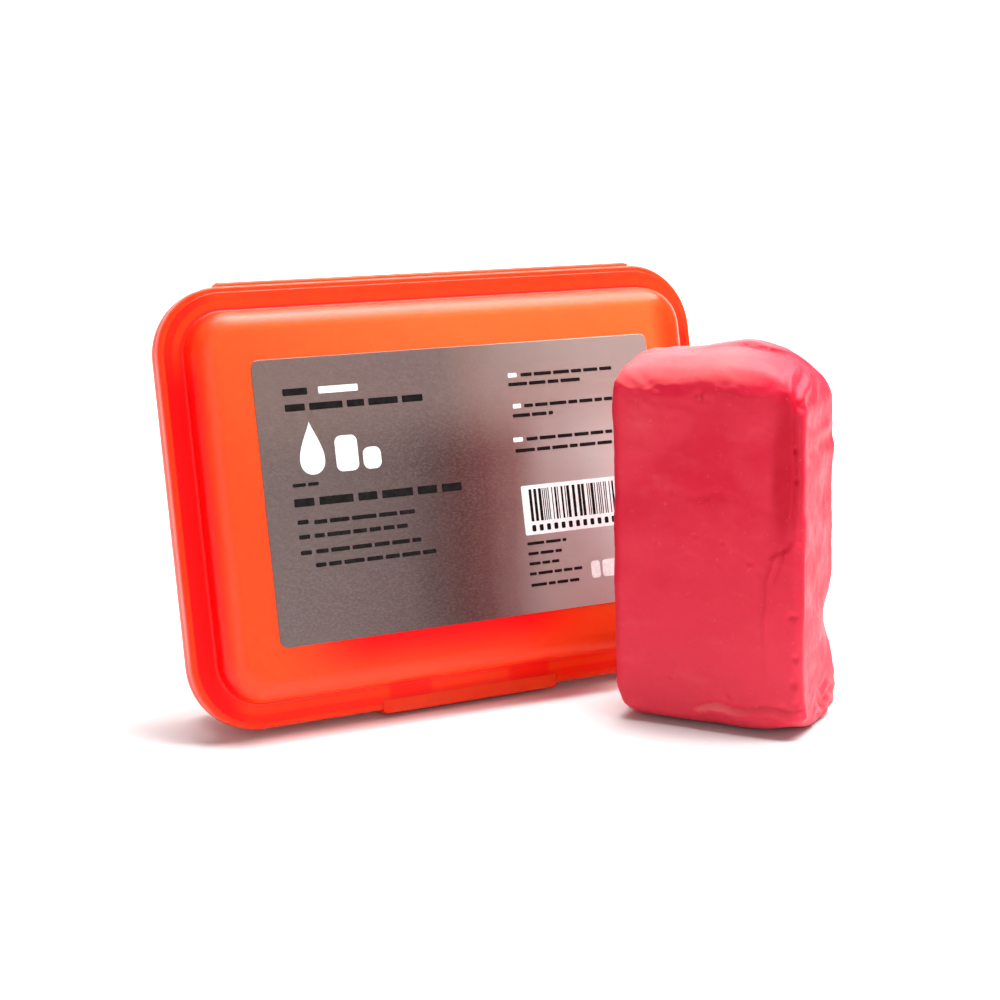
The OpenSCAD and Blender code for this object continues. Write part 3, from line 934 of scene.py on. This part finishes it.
# ---------------------------------------------------------------- the studio
def build_floor():
    """A plain pale floor that bends up far behind, turned to face the camera."""
    bend, back = FLOOR_BEND, FLOOR_BACK
    profile = [(FLOOR_FRONT, 0.0)]
    profile += [(back - bend + bend * math.sin(a), bend - bend * math.cos(a))
                for a in np.linspace(0, math.pi / 2, 12)]
    profile += [(back, FLOOR_TOP)]
    turn = Matrix.Rotation(CAMERA_TURN, 4, "Z")
    mesh = bpy.data.meshes.new("floor")
    verts = [tuple(turn @ Vector((x, y, z))) for y, z in profile for x in (-FLOOR_HALF_W, FLOOR_HALF_W)]
    mesh.from_pydata(verts, [], [(2 * i, 2 * i + 1, 2 * i + 3, 2 * i + 2) for i in range(len(profile) - 1)])
    for f in mesh.polygons:
        f.use_smooth = True
    floor = bpy.data.objects.new("floor", mesh)
    bpy.context.scene.collection.objects.link(floor)
    mat, _, bsdf = new_material("floor")
    bsdf.inputs["Base Color"].default_value = (FLOOR_TONE, FLOOR_TONE, FLOOR_TONE, 1)
    bsdf.inputs["Roughness"].default_value = 0.9
    bsdf.inputs["Specular IOR Level"].default_value = 0.1
    mesh.materials.append(mat)


def add_light(name, place, target, size, power):
    """A square area light that looks at its target."""
    data = bpy.data.lights.new(name, "AREA")
    data.shape, data.size, data.energy = "SQUARE", size, power
    lamp = bpy.data.objects.new(name, data)
    bpy.context.scene.collection.objects.link(lamp)
    lamp.location = place
    lamp.rotation_euler = (Vector(target) - Vector(place)).to_track_quat("-Z", "Y").to_euler()


def build_stage():
    """The floor, a pale surround, a soft key from the right, a weak fill and a light on the floor's bend."""
    build_floor()
    world = bpy.data.worlds.new("studio")
    bpy.context.scene.world = world
    world.use_nodes = True
    background = world.node_tree.nodes["Background"]
    background.inputs[0].default_value = (1, 1, 1, 1)
    background.inputs[1].default_value = WORLD_STRENGTH
    add_light("key", *KEY_LIGHT)
    add_light("fill", *FILL_LIGHT)
    turn = Matrix.Rotation(CAMERA_TURN, 4, "Z")
    place, target, size, power = BACKDROP_LIGHT
    add_light("backdrop_light", turn @ Vector(place), turn @ Vector(target), size, power)


def build_camera():
    """A long lens, set where the picture's own perspective puts it."""
    data = bpy.data.cameras.new("camera")
    data.lens, data.sensor_width = CAMERA_LENS, CAMERA_SENSOR
    cam = bpy.data.objects.new("camera", data)
    bpy.context.scene.collection.objects.link(cam)
    level = math.cos(CAMERA_PITCH)
    forward = Vector((-math.sin(CAMERA_TURN) * level, math.cos(CAMERA_TURN) * level, -math.sin(CAMERA_PITCH)))
    right = Vector((math.cos(CAMERA_TURN), math.sin(CAMERA_TURN), 0))
    up = right.cross(forward)
    aim = CASE @ Vector((0, 0, LID_RIM * MM)) + right * AIM_RIGHT * MM - up * AIM_DOWN * MM
    cam.location = aim - forward * CAMERA_FAR * MM
    cam.rotation_euler = forward.to_track_quat("-Z", "Y").to_euler()
    bpy.context.scene.camera = cam
    bpy.context.scene.view_settings.view_transform = "Standard"
    bpy.context.scene.view_settings.look = "None"


build_case()
build_label()
build_clay()
build_stage()
build_camera()
